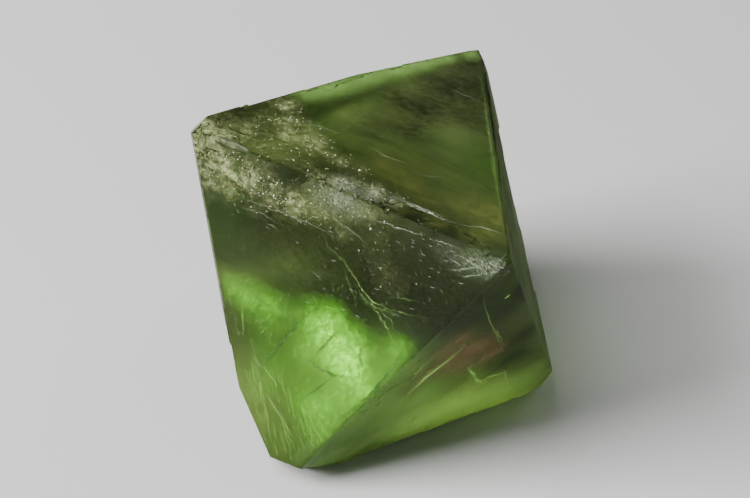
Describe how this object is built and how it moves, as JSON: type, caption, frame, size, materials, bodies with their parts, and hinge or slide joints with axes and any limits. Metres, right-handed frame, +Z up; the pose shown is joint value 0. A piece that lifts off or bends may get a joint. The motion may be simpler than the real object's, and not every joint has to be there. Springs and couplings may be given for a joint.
{
  "type": "fluorite crystal, cleaved octahedron",
  "caption": "Clear green fluorite, split on its cleavage planes into an octahedron that lies on one face.",
  "frame": {"origin": "on the ground, under the middle of the crystal's bounding box", "axes": "+Z up, out of the face opposite the one it lies on; the pictured side looks along +Y"},
  "size_m": [0.0418, 0.0404, 0.0317],
  "materials": {
    "fluorite": "polished"
  },
  "bodies": {
    "root": {"fluorite_crystal": "fluorite"}
  },
  "joints": []
}
